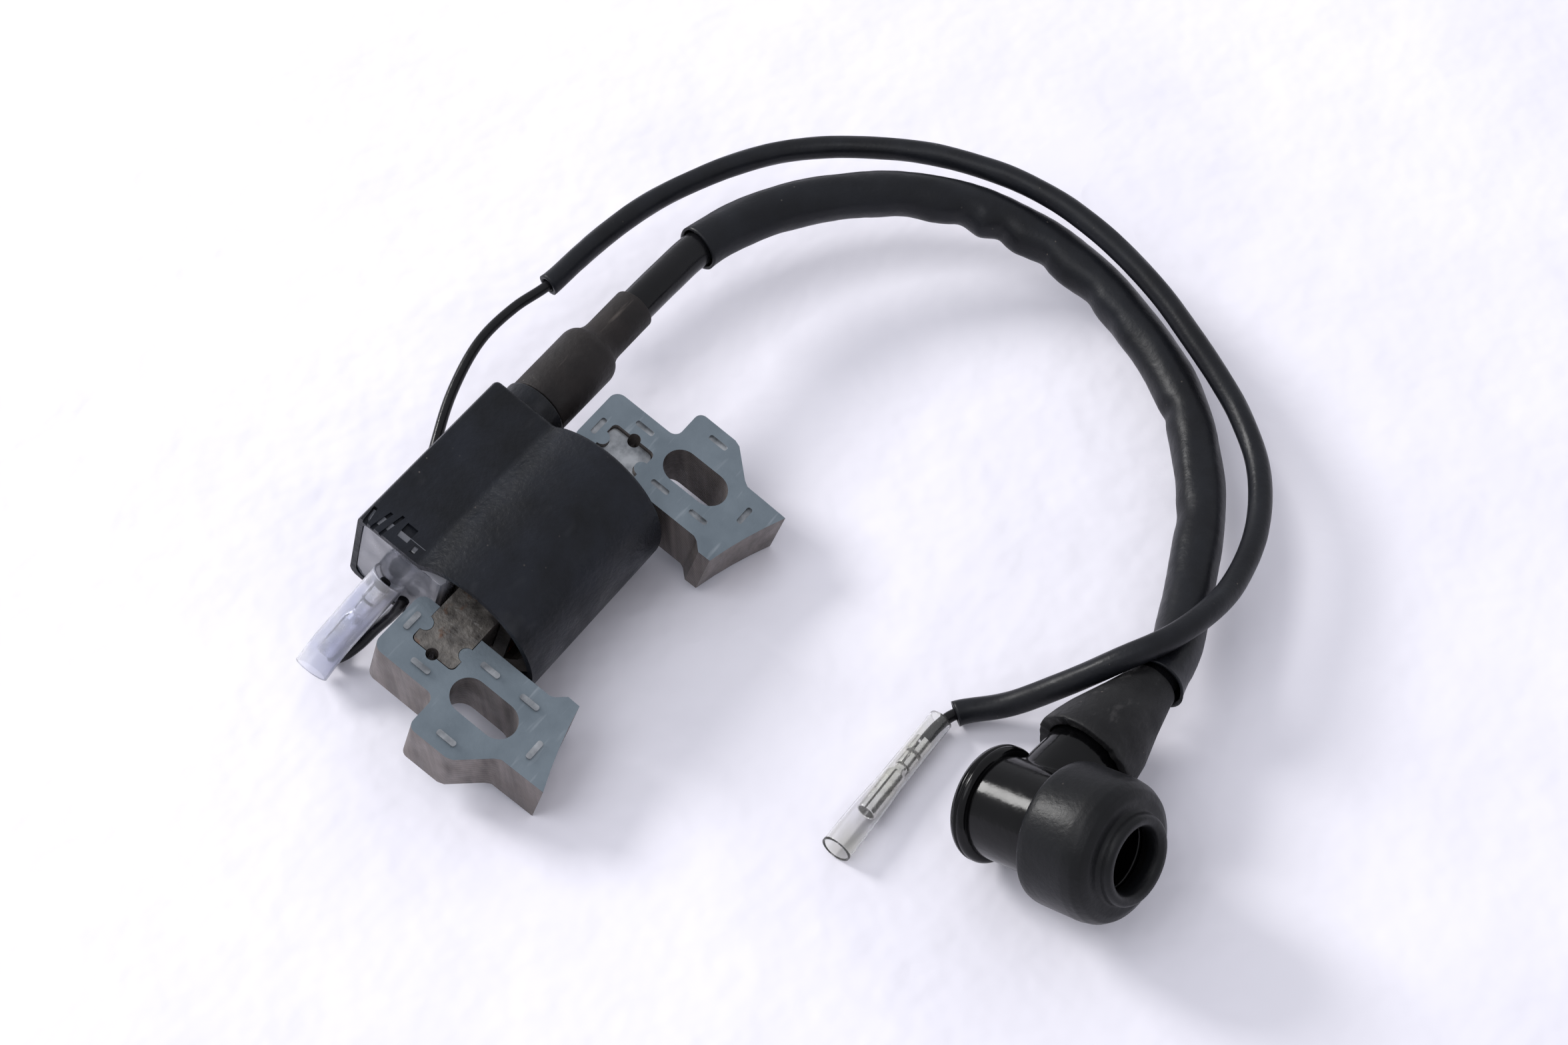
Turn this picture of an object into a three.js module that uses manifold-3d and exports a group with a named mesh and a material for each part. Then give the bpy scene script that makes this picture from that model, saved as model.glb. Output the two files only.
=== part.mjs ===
// Flywheel ignition coil for a small engine, lying on a bench: a U-shaped laminated core, a moulded
// coil case with its potted electronics, a rubber-booted high-tension lead with a right-angle plug
// cap, and an engine-stop wire with a tinned receptacle. Millimetres, +Z up.
import * as THREE from 'three';
import { mergeVertices } from 'three/addons/utils/BufferGeometryUtils.js';
import Module from 'manifold-3d';

const wasm = await Module();
wasm.setup();

// ---- driving dimensions -------------------------------------------------------------------
const GAP = 0.3;               // between pieces that touch on the real coil
const SMALL_GAP = 0.15;        // in the core's dovetail joints
const CASE_R = 15.5;           // round part of the coil case
const CASE_WALL = 1.2;
const CASE_NEAR = -19;         // open, potted end of the case
const CASE_FAR = 18.5;
const BOX_TOP = 10.3;          // box-shaped part of the case beside the round one
const BOX_SIDE = 24.7;
const BOX_BOTTOM = -11.3;
const CASE_SIDES = 28;         // steps round the case's big arc
const STACK = 12.05;           // thickness of the lamination stack
const BAR_HALF = 4.5;          // half width of the core bar
const BAR_END = 28.4;          // the bar's end inside each leg
const SLOT_X = 30;             // mounting slots, 60 apart
const SLOT_Y = -12.9;
const SLOT_R = 3.46;
const SLOT_HALF_RUN = 3.2;
const POLE_R = 90.3;           // radius swept by the flywheel, plus the air gap
const POLE_CENTRE_Y = -113.2;
const TOWER_Y = 18.2;          // axis of the high-tension tower
const LEAD_R = 3.5;            // 7 mm high-tension lead
const LEAD_SLEEVE_R = 4.5;
const WIRE_R = 1.05;
const WIRE_SLEEVE_R = 2.2;

// resting posture: the case lies on its round side and the legs on their pole tips
const TILT = THREE.MathUtils.degToRad(19.1);
const CORE_AXIS = new THREE.Vector3(-6, 2, CASE_R);

// the plug cap's frame: x runs out along the lead neck, -y towards the spark plug
const CAP_CENTRE = new THREE.Vector3(0.4, -98.3, 12.7);
const CAP_PITCH = THREE.MathUtils.degToRad(21.3);
const CAP_DIP = THREE.MathUtils.degToRad(2.6);
const CAP_YAW = THREE.MathUtils.degToRad(-5);
const BARREL_BACK = 9.3;       // from the neck axis to the cap's rear face
const BARREL_R = 9;
const BARREL_FRONT = 18.4;
const CHAMBER_R = 6.3;
const NECK_R = 7;
const NECK_END = 22;

// ---- materials ----------------------------------------------------------------------------
const material = (color, roughness, metalness) =>
  new THREE.MeshStandardMaterial({ color, roughness, metalness });
const casePlastic = () => material(0x1b1c1f, 0.55, 0);
const resin = () => material(0x2a2d31, 0.15, 0);
const coreSteel = () => material(0x6f7d85, 0.4, 0.9);
const bobbinPlastic = () => material(0x2c2a27, 0.6, 0);
const enamelledCopper = () => material(0x7a3b1e, 0.35, 0.8);
const boardLaminate = () => material(0x2f5a35, 0.5, 0);
const tinned = () => material(0xb9bcc0, 0.25, 1);
const brass = () => material(0xb08a45, 0.3, 1);
const clearVinyl = () => new THREE.MeshStandardMaterial({
  color: 0xe6e8ee, roughness: 0.1, metalness: 0, transparent: true, opacity: 0.35,
});
const rubber = () => material(0x211f1e, 0.8, 0);
const leadVinyl = () => material(0x121214, 0.25, 0);
const sleeveVinyl = () => material(0x1a1b1d, 0.45, 0);
const bakelite = () => material(0x0d0d0e, 0.12, 0);
const ceramic = () => material(0xd9d4c6, 0.4, 0);
const springSteel = () => material(0x8d9094, 0.3, 1);

// ---- solids -------------------------------------------------------------------------------
function solid(geometry) {
  const bare = geometry.clone();
  bare.deleteAttribute('normal');
  bare.deleteAttribute('uv');
  const merged = mergeVertices(bare, 1e-4);
  return new wasm.Manifold(new wasm.Mesh({
    numProp: 3,
    vertProperties: new Float32Array(merged.attributes.position.array),
    triVerts: new Uint32Array(merged.index.array),
  }));
}

function geometryOf(body) {
  const mesh = body.getMesh();
  const geometry = new THREE.BufferGeometry();
  geometry.setAttribute('position', new THREE.BufferAttribute(new Float32Array(mesh.vertProperties), 3));
  geometry.setIndex(new THREE.BufferAttribute(new Uint32Array(mesh.triVerts), 1));
  return geometry;
}

function part(name, shape, finish) {
  const geometry = shape.isBufferGeometry ? shape : geometryOf(shape);
  const mesh = new THREE.Mesh(geometry, finish);
  mesh.name = name;
  return mesh;
}

// shape drawn in (y, z), pushed along x
function prismX(shape, from, to, curveSegments = 4) {
  const geometry = new THREE.ExtrudeGeometry(shape, { depth: to - from, bevelEnabled: false, curveSegments });
  const turn = new THREE.Matrix4().makeBasis(
    new THREE.Vector3(0, 1, 0), new THREE.Vector3(0, 0, 1), new THREE.Vector3(1, 0, 0));
  return geometry.applyMatrix4(turn).translate(from, 0, 0);
}

// shape drawn in (x, y), pushed along z
function prismZ(shape, from, to) {
  const geometry = new THREE.ExtrudeGeometry(shape, { depth: to - from, bevelEnabled: false, curveSegments: 8 });
  return geometry.translate(0, 0, from);
}

function box(x0, x1, y0, y1, z0, z1) {
  const geometry = new THREE.BoxGeometry(x1 - x0, y1 - y0, z1 - z0);
  return geometry.translate((x0 + x1) / 2, (y0 + y1) / 2, (z0 + z1) / 2);
}

// closed profile of [radius, place along x] points, turned about the x axis
function turnedX(profile, sides = 24) {
  const points = profile.map(([radius, along]) => new THREE.Vector2(radius, along));
  return new THREE.LatheGeometry(points, sides).rotateZ(-Math.PI / 2);
}

const tubeX = (outer, inner, from, to, sides) =>
  turnedX([[inner, from], [outer, from], [outer, to], [inner, to], [inner, from]], sides);

const rodX = (radius, from, to, sides) => turnedX([[0, from], [radius, from], [radius, to], [0, to]], sides);

function roundedRectangle(halfY, halfZ, corner) {
  const shape = new THREE.Shape();
  shape.absarc(halfY - corner, halfZ - corner, corner, 0, Math.PI / 2);
  shape.absarc(-halfY + corner, halfZ - corner, corner, Math.PI / 2, Math.PI);
  shape.absarc(-halfY + corner, -halfZ + corner, corner, Math.PI, Math.PI * 1.5);
  shape.absarc(halfY - corner, -halfZ + corner, corner, Math.PI * 1.5, Math.PI * 2);
  return shape;
}

function rectangleHole(halfY, halfZ) {
  const hole = new THREE.Path();
  hole.moveTo(-halfY, -halfZ);
  hole.lineTo(-halfY, halfZ);
  hole.lineTo(halfY, halfZ);
  hole.lineTo(halfY, -halfZ);
  hole.closePath();
  return hole;
}

// ---- coil case ----------------------------------------------------------------------------
// round coil chamber joined to a box for the electronics, in (y, z)
function caseOutline(inset) {
  const r = CASE_R - inset;
  const top = BOX_TOP - inset;
  const bottom = BOX_BOTTOM + inset;
  const side = BOX_SIDE - inset;
  const shape = new THREE.Shape();
  shape.moveTo(Math.sqrt(r * r - top * top), top);
  shape.absarc(0, 0, r, Math.asin(top / r), 2 * Math.PI + Math.asin(bottom / r), false);
  shape.lineTo(side - 4, bottom);
  shape.lineTo(side - 0.9, bottom + 0.6);
  shape.lineTo(side - 0.3, bottom + 1.5);
  shape.lineTo(side + 0.3, top - 1.5);
  shape.lineTo(side + 0.2, top);
  shape.closePath();
  return shape;
}

const TOWER_FLOOR = 20.5;
const TOWER_END = 36;

function coilCase() {
  let body = solid(prismX(caseOutline(0), CASE_NEAR, CASE_FAR, CASE_SIDES));
  body = body.subtract(solid(prismX(caseOutline(CASE_WALL), CASE_NEAR - 1, CASE_FAR - 1.5, CASE_SIDES)));
  const tower = [
    solid(rodX(6.4, CASE_FAR - 1.4, 23.6).translate(0, TOWER_Y, 0)),
    solid(rodX(5, CASE_FAR - 1.4, TOWER_END).translate(0, TOWER_Y, 0)),
  ];
  tower.forEach((piece) => { body = body.add(piece); });
  body = body.subtract(solid(rodX(LEAD_R + GAP, TOWER_FLOOR, TOWER_END + 1).translate(0, TOWER_Y, 0)));
  body = body.subtract(solid(rodX(1.2, CASE_FAR - 3, TOWER_FLOOR + 1, 16).translate(0, TOWER_Y, 0)));
  const barHole = box(CASE_FAR - 3, CASE_FAR + 1, -BAR_HALF - GAP, BAR_HALF + GAP, -STACK / 2 - GAP, STACK / 2 + GAP);
  body = body.subtract(solid(barHole));
  // locating foot under the potted end
  body = body.add(solid(box(CASE_NEAR, CASE_NEAR + 3, 12.9, 14.3, -15.8, BOX_BOTTOM + 0.4)));
  return part('coil_case', body, casePlastic());
}

// resin fills the box and dams the coil chamber at the open end; the board sits in a pocket
const WINDING_SPACE_R = 14.6;
const DAM_BACK = -15.5;
const RESIN_BACK = 14;
const POCKET = { x: -9, y0: 16.4, y1: 21.6, z: 7.4 };

function pottingResin() {
  const inside = solid(prismX(caseOutline(CASE_WALL + GAP), CASE_NEAR, RESIN_BACK, CASE_SIDES));
  let body = inside.intersect(solid(box(-30, 30, 6.4, 30, -20, 20)));
  body = body.subtract(solid(rodX(WINDING_SPACE_R, DAM_BACK, 30, 36)));
  body = body.subtract(solid(box(POCKET.x, 30, POCKET.y0, POCKET.y1, -POCKET.z, POCKET.z)));
  body = body.intersect(solid(box(-30, 30, 6.4, 30, BOX_BOTTOM, BOX_TOP)));
  return part('potting_resin', body, resin());
}

function electronics() {
  const board = box(POCKET.x + 1, RESIN_BACK - 1, 20, 21.2, -7, 7);
  const transistor = solid(box(-5, 3, 17, 19.7, -4, 4))
    .add(solid(box(2.9, 7, 19, 19.7, -1.5, 1.5)));
  return [
    part('control_board', board, boardLaminate()),
    part('power_transistor', transistor, casePlastic()),
  ];
}

// ---- windings -----------------------------------------------------------------------------
const BOBBIN_NEAR = -15.2;
const BOBBIN_FAR = 16.6;

function windings() {
  const hollow = rectangleHole(BAR_HALF + GAP, STACK / 2 + GAP);
  const formerTube = roundedRectangle(5.7, 7.2, 1.2);
  formerTube.holes.push(hollow);
  const cheek = roundedRectangle(7.4, 8.9, 2.6);
  cheek.holes.push(hollow);
  let former = solid(prismX(formerTube, BOBBIN_NEAR, BOBBIN_FAR));
  former = former.add(solid(prismX(cheek, BOBBIN_NEAR, BOBBIN_NEAR + 1)));
  former = former.add(solid(prismX(cheek, BOBBIN_FAR - 1, BOBBIN_FAR)));
  const turns = solid(prismX(roundedRectangle(7.4, 8.9, 2.6), BOBBIN_NEAR + 1.3, BOBBIN_FAR - 1.3))
    .subtract(solid(prismX(roundedRectangle(5.7 + GAP, 7.2 + GAP, 1.2), BOBBIN_NEAR, BOBBIN_FAR)));
  const bobbinEnd = (x) => tubeX(13.9, 11, x, x + 0.9, 28);
  let bobbin = solid(tubeX(11.8, 11, BOBBIN_NEAR + 0.5, BOBBIN_FAR - 0.5, 28));
  [BOBBIN_NEAR + 0.5, BOBBIN_FAR - 1.4].forEach((x) => { bobbin = bobbin.add(solid(bobbinEnd(x))); });
  return [
    part('primary_bobbin', former, bobbinPlastic()),
    part('primary_winding', turns, enamelledCopper()),
    part('secondary_bobbin', bobbin, bobbinPlastic()),
    part('secondary_winding', tubeX(13.6, 12.1, BOBBIN_NEAR + 1.7, BOBBIN_FAR - 1.7, 28), enamelledCopper()),
  ];
}

// ---- laminated core -----------------------------------------------------------------------
const LOBE_X = 24.6;           // round lobes that lock the bar in the leg
const LOBE_R = 1.45;
const PIN_HOLE_X = 28.35;
const PIN_HOLE_R = 1.16;

const pinHole = (side) => {
  const hole = new THREE.Shape();
  hole.absarc(side * PIN_HOLE_X, 0, PIN_HOLE_R, 0, 2 * Math.PI);
  return solid(prismZ(hole, -STACK, STACK));
};

function coreBar() {
  const half = new THREE.Shape();
  const corner = 1;
  half.moveTo(0, -BAR_HALF);
  half.lineTo(LOBE_X - LOBE_R - SMALL_GAP, -BAR_HALF);
  half.absarc(LOBE_X, -BAR_HALF - SMALL_GAP, LOBE_R + SMALL_GAP, Math.PI, 0, true);
  half.lineTo(BAR_END - corner, -BAR_HALF);
  half.absarc(BAR_END - corner, -BAR_HALF + corner, corner, -Math.PI / 2, 0);
  half.absarc(BAR_END - corner, BAR_HALF - corner, corner, 0, Math.PI / 2);
  half.lineTo(LOBE_X + LOBE_R + SMALL_GAP, BAR_HALF);
  half.absarc(LOBE_X, BAR_HALF + SMALL_GAP, LOBE_R + SMALL_GAP, 0, Math.PI, true);
  half.lineTo(0, BAR_HALF);
  half.closePath();
  const right = solid(prismZ(half, -STACK / 2, STACK / 2));
  const left = right.mirror([1, 0, 0]);
  let body = right.add(left).add(solid(box(-1, 1, -BAR_HALF, BAR_HALF, -STACK / 2, STACK / 2)));
  [-1, 1].forEach((side) => { body = body.subtract(pinHole(side)); });
  // the far end sits a lamination or two below the leg's face
  body = body.subtract(solid(box(19.8, 40, -10, 10, STACK / 2 - 1, 10)));
  return part('core_bar', body, coreSteel());
}

function legOutline() {
  const inner = 20.65;
  const outer = 34;
  const wing = 41.2;
  const top = 8.65;
  const pocket = BAR_HALF + SMALL_GAP;
  const pocketEnd = BAR_END + SMALL_GAP;
  const poleAngle = (x) => Math.acos(x / POLE_R);
  const s = new THREE.Shape();
  s.moveTo(inner, pocket);
  s.lineTo(inner, top - 2);
  s.absarc(inner + 2, top - 2, 2, Math.PI, Math.PI / 2, true);
  s.absarc(outer - 2, top - 2, 2, Math.PI / 2, 0, true);
  s.absarc(outer + 1.7, -3.65, 1.7, Math.PI, 1.5 * Math.PI, false);
  s.absarc(wing - 1.5, -6.85, 1.5, Math.PI / 2, 0, true);
  s.lineTo(41.15, -13.7);
  s.lineTo(40.7, -14.95);
  s.lineTo(35.9, -19.9);
  s.lineTo(35.2, -21);
  s.absarc(0, POLE_CENTRE_Y, POLE_R, poleAngle(35), poleAngle(18.7), false);
  s.lineTo(18.65, -22.3);
  s.lineTo(19.3, -21.6);
  s.lineTo(20.2, -20.7);
  s.lineTo(inner, -19.8);
  s.lineTo(inner, -pocket);
  s.absarc(LOBE_X, -pocket, LOBE_R, Math.PI, 0, true);
  s.absarc(pocketEnd - 1, -pocket + 1, 1, -Math.PI / 2, 0, false);
  s.absarc(pocketEnd - 1, pocket - 1, 1, 0, Math.PI / 2, false);
  s.absarc(LOBE_X, pocket, LOBE_R, 0, -Math.PI, true);
  s.closePath();
  return s;
}

function slotOutline() {
  const s = new THREE.Shape();
  s.absarc(SLOT_X, SLOT_Y + SLOT_HALF_RUN, SLOT_R, 0, Math.PI);
  s.absarc(SLOT_X, SLOT_Y - SLOT_HALF_RUN, SLOT_R, Math.PI, 2 * Math.PI);
  s.closePath();
  return s;
}

// interlock stakes that hold the laminations together: [x, y, runs along x]
const STAKES = [
  [26, 6.47, true], [31.45, 0, false], [24.06, -9.31, false],
  [24.07, -18.04, false], [38.54, -11.63, false], [30.2, -24.12, true],
];
const STAKE = { length: 3.94, width: 1.11, depth: 0.5 };

function stake([x, y, alongX], z0, z1) {
  const halfX = (alongX ? STAKE.length : STAKE.width) / 2;
  const halfY = (alongX ? STAKE.width : STAKE.length) / 2;
  return solid(box(x - halfX, x + halfX, y - halfY, y + halfY, z0, z1));
}

function poleLeg(name, side) {
  let body = solid(prismZ(legOutline(), -STACK / 2, STACK / 2));
  body = body.subtract(solid(prismZ(slotOutline(), -STACK, STACK)));
  body = body.subtract(pinHole(1));
  const face = STACK / 2;
  STAKES.forEach((place) => {
    if (side > 0) {
      body = body.subtract(stake(place, face - STAKE.depth, face + 1));
    } else {
      body = body.add(stake(place, face - 1, face + STAKE.depth));
      body = body.subtract(stake(place, -face - 1, -face + STAKE.depth));
    }
  });
  if (side < 0) {
    body = body.mirror([1, 0, 0]);
  }
  return part(name, body, coreSteel());
}

// ---- high-tension outlet ------------------------------------------------------------------
const BOOT_END = 53.3;

function outlet() {
  const inner = 5 + GAP;
  const throat = LEAD_R + GAP;
  const boot = turnedX([
    [inner, 23.9], [6.05, 23.9], [6.05, 39], [5.7, 40.2], [4.8, 41.2], [4.3, 42.6], [4.2, 44],
    [4.2, BOOT_END - 0.4], [4, BOOT_END], [throat, BOOT_END], [throat, TOWER_END + 0.6],
    [inner, TOWER_END + 0.6], [inner, 23.9],
  ]).translate(0, TOWER_Y, 0);
  const pin = turnedX([[0, 14.6], [2, 14.6], [2, 15.6], [0.9, 15.6], [0.9, 25.6], [0, 27]], 16)
    .translate(0, TOWER_Y, 0);
  return [part('ht_boot', boot, rubber()), part('ht_contact_pin', pin, brass())];
}

// ---- stretches of cord --------------------------------------------------------------------
// part of a curve between two of its control points, stepped evenly between control points
class Stretch extends THREE.Curve {
  constructor(curve, from, to) {
    super();
    this.curve = curve;
    this.from = from / (curve.points.length - 1);
    this.to = to / (curve.points.length - 1);
  }

  getPoint(t, target) {
    return this.curve.getPoint(this.from + (this.to - this.from) * t, target);
  }

  getUtoTmapping(u) {
    return u;
  }
}

const route = (points) => new THREE.CatmullRomCurve3(points.map((p) => new THREE.Vector3(...p)), false, 'centripetal');

function polygon(radius, sides) {
  const points = [];
  for (let i = 0; i < sides; i += 1) {
    const angle = (2 * Math.PI * i) / sides;
    points.push(new THREE.Vector2(radius * Math.cos(angle), radius * Math.sin(angle)));
  }
  return points;
}

function swept(curve, from, to, perSpan, outer, inner, sides) {
  const section = new THREE.Shape(polygon(outer, sides));
  if (inner > 0) {
    section.holes.push(new THREE.Path(polygon(inner, sides)));
  }
  return new THREE.ExtrudeGeometry(section, {
    steps: (to - from) * perSpan, extrudePath: new Stretch(curve, from, to), curveSegments: 1,
  });
}

// high-tension lead: out of the tower, round the arc, into the cap's neck
const LEAD_ROUTE = [
  [21.4, 19.2, 21.46], [34, 19.2, 21.46], [47.3, 19.2, 21.4], [57, 19.2, 21.1], [66.4, 18.9, 20.6],
  [77, 15.9, 20.3], [86.4, 10.6, 20], [94, 4.3, 19.6], [100, -2.6, 18.9], [105.4, -10.6, 17.6],
  [108.9, -19.4, 15.7], [110.6, -28, 13.9], [110.4, -36.8, 12.3], [108.6, -45.6, 11.2], [105.2, -53.9, 10.4],
  [101.2, -62.2, 9.8], [96.2, -69.9, 9.4], [89.6, -77.1, 9.1], [81.9, -83.3, 9], [74.3, -88.2, 9],
  [66.2, -92.1, 9], [58, -95.5, 9.1], [50.5, -98.4, 9.5], [43, -100.9, 10.3], [36.2, -101.44, 11.05],
  [29.26, -100.83, 11.38], [22.6, -100.24, 11.69],
];
const LEAD_SLEEVE_FROM = 4;
const LEAD_SLEEVE_TO = 24;

// engine-stop wire: out of the resin, a hairpin under the receptacle's sleeve, behind the case,
// alongside the lead, over it, and down to its own receptacle
const WIRE_ROUTE = [
  [-26, 14.5, 15.9], [-27, 15.2, 14.2], [-27.8, 17.1, 11], [-29.9, 19.7, 7.2], [-32.8, 21.4, 4.6],
  [-35.4, 23.3, 2.7], [-36.3, 24.9, 1.8], [-34.6, 26.2, 1.4], [-31.4, 26.9, 1.3], [-26, 27.5, 1.4],
  [-16, 28.6, 2.6], [-5, 31.4, 5.2], [6.1, 36.4, 8], [18.6, 41.8, 10], [30.5, 44.3, 12],
  [39.8, 43.4, 13.2], [47.4, 41.1, 14], [55.4, 40.4, 14.5], [64, 39.3, 15], [74.2, 37, 15.6],
  [83, 33.3, 16.2], [91.8, 28.3, 16.8], [99.3, 22.2, 17.3], [105, 14.8, 17.9], [109.6, 6.2, 18.6],
  [113.2, -3.6, 19.4], [115.2, -14.2, 20], [116.1, -23.4, 20], [115.7, -32.6, 19.6], [114.2, -41.4, 18.8],
  [111.9, -50, 17.8], [108.2, -59.4, 16.8], [103.4, -68.6, 15.8], [98.8, -77, 14.6], [93.8, -84.5, 13.8],
  [85, -93.5, 13.2], [72.5, -100.2, 13.2], [59, -103, 14.6], [50, -102.9, 16.8], [41.6, -100.8, 17.8],
  [33.4, -95.6, 16.4], [27, -88.8, 11.2], [21.6, -81, 5], [15.9, -73.9, 3], [12.4, -72.8, 2.95],
  [8.2, -72.5, 2.95],
];
const WIRE_SLEEVE_FROM = 16;
const WIRE_SLEEVE_TO = 43;

function cords() {
  const lead = route(LEAD_ROUTE);
  const wire = route(WIRE_ROUTE);
  const leadEnd = LEAD_ROUTE.length - 1;
  const wireEnd = WIRE_ROUTE.length - 1;
  return [
    part('ht_lead', swept(lead, 0, leadEnd, 1, LEAD_R, 0, 12), leadVinyl()),
    part('ht_lead_sleeving',
      swept(lead, LEAD_SLEEVE_FROM, LEAD_SLEEVE_TO, 1, LEAD_SLEEVE_R, LEAD_R + 0.45, 12), sleeveVinyl()),
    part('stop_wire', swept(wire, 0, wireEnd, 1, WIRE_R, 0, 8), leadVinyl()),
    part('stop_wire_sleeving',
      swept(wire, WIRE_SLEEVE_FROM, WIRE_SLEEVE_TO, 1, WIRE_SLEEVE_R, WIRE_R + 0.4, 8), sleeveVinyl()),
  ];
}

// ---- tinned receptacles -------------------------------------------------------------------
// barrel with an open mouth at x = 0, crimp towards -x
const RECEPTACLE = { barrel: 8.9, neck: 11, crimp: 17.5 };

function receptacle() {
  const { barrel, neck, crimp } = RECEPTACLE;
  return turnedX([
    [1.55, 0], [1.85, 0], [1.85, -barrel], [1.1, -neck + 0.6], [1.1, -neck], [1.75, -neck - 0.4],
    [1.75, -crimp], [1.4, -crimp], [1.4, -neck - 1], [0, -neck - 1], [0, -barrel + 0.5], [1.55, -barrel + 0.5],
    [1.55, 0],
  ].reverse(), 16);
}

function pointAlongX(object, start, towards) {
  const direction = new THREE.Vector3().subVectors(towards, start).normalize();
  object.position.copy(start);
  object.quaternion.setFromUnitVectors(new THREE.Vector3(1, 0, 0), direction);
  return object;
}

// on the coil: a short stub of wire, its receptacle and a drooping clear sleeve cut off at the resin
const OUTLET_MOUTH = new THREE.Vector3(-37.7, 24.7, 6.1);
const OUTLET_LINE = new THREE.Vector3(-0.621, 0.362, -0.693);
const OUTLET_SLEEVE_ROUTE = [
  [-24, 16.7, 21.3], [-29, 19.6, 15.8], [-33.4, 22.2, 10.9], [-37.4, 24.2, 7], [-41.6, 25, 4.5],
];
const RESIN_FACE = CORE_AXIS.x + CASE_NEAR;

function coilReceptacle() {
  const alongOutlet = (object) => pointAlongX(object, OUTLET_MOUTH, OUTLET_MOUTH.clone().add(OUTLET_LINE));
  const stub = rodX(WIRE_R, -RECEPTACLE.crimp - 1.1, -RECEPTACLE.neck - 1.6, 12);
  const tube = solid(swept(route(OUTLET_SLEEVE_ROUTE), 0, OUTLET_SLEEVE_ROUTE.length - 1, 2, 3.35, 3, 16));
  const sleeve = tube.subtract(solid(box(RESIN_FACE - GAP, RESIN_FACE + 10, 0, 40, 0, 40)));
  return [
    alongOutlet(part('stop_terminal_stub', stub, leadVinyl())),
    alongOutlet(part('stop_receptacle', receptacle(), tinned())),
    part('stop_receptacle_sleeve', sleeve, clearVinyl()),
  ];
}

function wireReceptacle() {
  const axisStart = new THREE.Vector3(-9.4, -72.3, 2.95);
  const terminal = pointAlongX(part('wire_receptacle', receptacle(), tinned()),
    axisStart, new THREE.Vector3(-20, -72.25, 2.95));
  const sleeve = pointAlongX(part('wire_receptacle_sleeve', turnedX([
    [1.95, -23], [2.25, -23], [2.35, -8], [2.7, 2], [2.8, 9], [2.5, 9], [2.4, 2], [2.05, -8], [1.95, -23],
  ], 16), clearVinyl()), axisStart, new THREE.Vector3(-20, -72.25, 2.95));
  return [terminal, sleeve];
}

// ---- plug cap -----------------------------------------------------------------------------
// the barrel's axis is -y in the cap's frame: turned profiles are made along x and swung round
const alongBarrel = (geometry) => geometry.rotateZ(-Math.PI / 2);

function capElbow() {
  let body = solid(alongBarrel(rodX(BARREL_R, -BARREL_BACK + 2.3, BARREL_FRONT)));
  body = body.add(solid(rodX(NECK_R, 0, NECK_END)));
  body = body.subtract(solid(alongBarrel(rodX(CHAMBER_R, -BARREL_BACK, BARREL_FRONT + 1))));
  body = body.subtract(solid(rodX(LEAD_R + GAP, 14, NECK_END + 1)));
  body = body.subtract(solid(rodX(2.9, 0, 15)));
  return part('cap_elbow', body, bakelite());
}

function capPieces() {
  const plug = turnedX([
    [0, -BARREL_BACK], [9.3, -BARREL_BACK], [9.9, -BARREL_BACK + 0.4], [10.3, -BARREL_BACK + 1.1],
    [10.3, -BARREL_BACK + 1.6], [9.6, -BARREL_BACK + 2], [CHAMBER_R - GAP, -BARREL_BACK + 2],
    [CHAMBER_R - GAP, -BARREL_BACK + 4.6], [0, -BARREL_BACK + 4.6],
  ]);
  const seal = turnedX([
    [BARREL_R + GAP, 7.3], [11.6, 7.3], [12.4, 8.2], [12.5, 18.5], [11.8, 20.5], [9.8, 21.2], [8.6, 21.2],
    [8.2, 23], [7.4, 23.4], [6.2, 23.2], [5.9, 22.6], [5.9, 20.5], [6.6, BARREL_FRONT + GAP],
    [BARREL_R + GAP, BARREL_FRONT + GAP], [BARREL_R + GAP, 7.3],
  ]);
  const boot = turnedX([
    [NECK_R + GAP, 15.2], [9.3, 14.9], [9.5, 15.6], [8.5, 21.5], [6.4, 28], [4.75, 34], [4.5, 35.4],
    [LEAD_R + GAP, 35.4], [LEAD_R + GAP, 27], [NECK_R + GAP, 23], [NECK_R + GAP, 15.2],
  ]);
  const screw = turnedX([
    [0, 13.4], [2.4, 13.4], [2.4, 14.6], [1.3, 14.8], [1.3, 19], [0, 22],
  ], 16);
  const clip = solid(tubeX(3.5, 3, -3.4, 3.6, 24)).subtract(solid(box(-10, 10, -0.6, 0.6, 0, 6)));
  return [
    part('cap_rear_plug', alongBarrel(plug), bakelite()),
    part('cap_plug_seal', alongBarrel(seal), rubber()),
    part('cap_lead_boot', boot, rubber()),
    part('cap_lead_screw', screw, brass()),
    part('cap_resistor', rodX(2.5, 7.4, 13, 20), ceramic()),
    part('cap_terminal_clip', alongBarrel(geometryOf(clip)), brass()),
  ];
}

function capSpring() {
  const turnsOf = [];
  const turns = 3;
  const perTurn = 10;
  for (let i = 0; i <= turns * perTurn; i += 1) {
    const angle = (2 * Math.PI * i) / perTurn;
    const along = 4.3 + (2.5 * i) / (turns * perTurn);
    turnsOf.push([along, 1.7 * Math.cos(angle), 1.7 * Math.sin(angle)]);
  }
  return part('cap_contact_spring', swept(route(turnsOf), 0, turns * perTurn, 1, 0.22, 0, 6), springSteel());
}

function plugCap() {
  const cap = new THREE.Group();
  cap.position.copy(CAP_CENTRE);
  cap.rotation.set(-CAP_PITCH, CAP_DIP, CAP_YAW, 'ZYX');
  cap.add(capElbow(), ...capPieces(), capSpring());
  return cap;
}

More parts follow.
